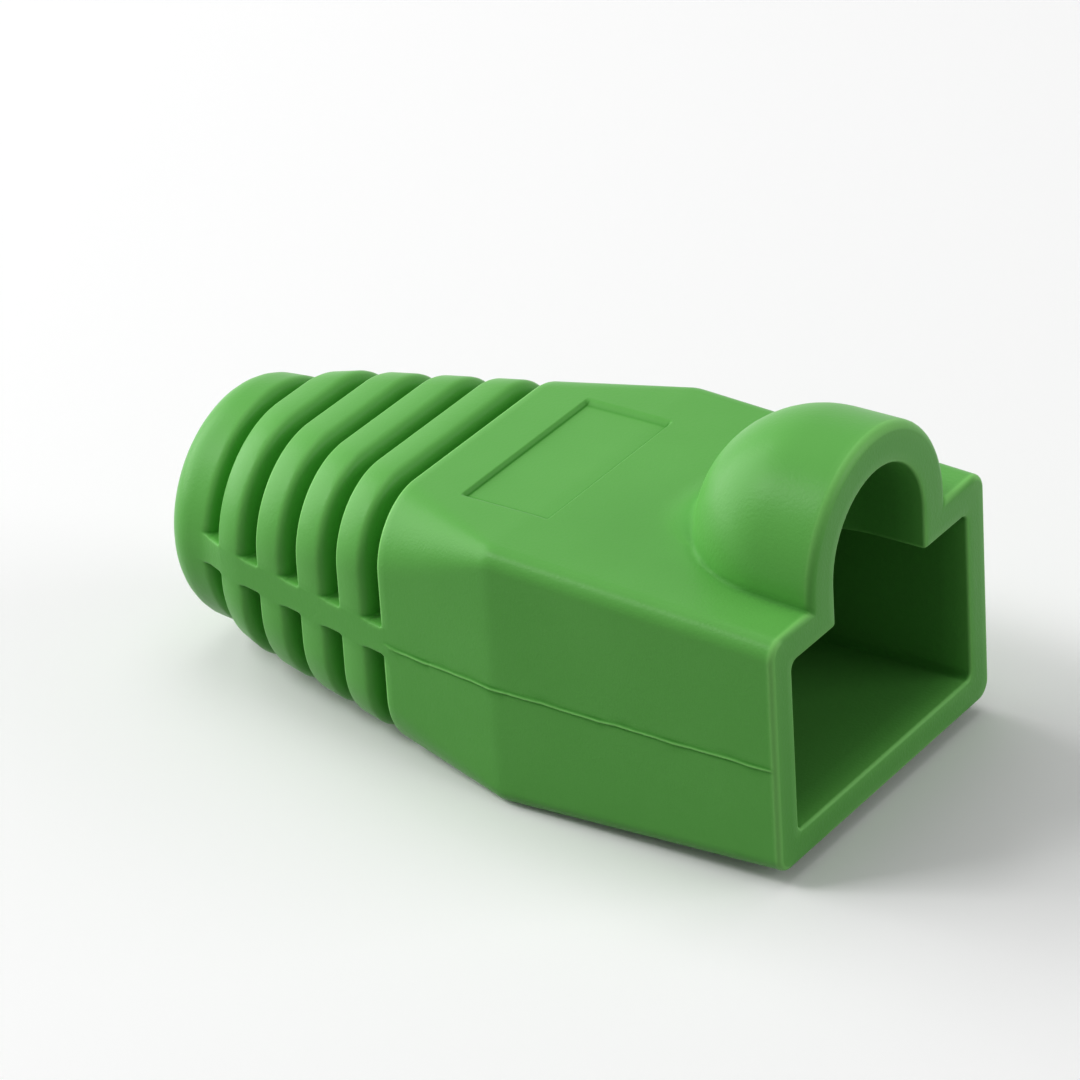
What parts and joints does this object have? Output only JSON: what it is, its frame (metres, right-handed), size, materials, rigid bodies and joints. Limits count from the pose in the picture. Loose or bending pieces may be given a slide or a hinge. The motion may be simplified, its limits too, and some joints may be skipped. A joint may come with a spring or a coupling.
{
  "type": "rj45 strain relief boot",
  "caption": "Soft moulded boot for a modular plug: square sleeve with an arched latch hood, tapering to a grooved, flexible tail round the cable bore.",
  "frame": {"origin": "on the resting surface, under the middle of the boot's box", "axes": "+X out of the plug mouth, +Z to the latch side, +Y completes the right-hand set"},
  "size_m": [0.0282, 0.0144, 0.0146],
  "materials": {
    "boot_rubber": "matt green, with a fine even grain"
  },
  "bodies": {
    "root": {"boot": "boot_rubber"}
  },
  "joints": []
}
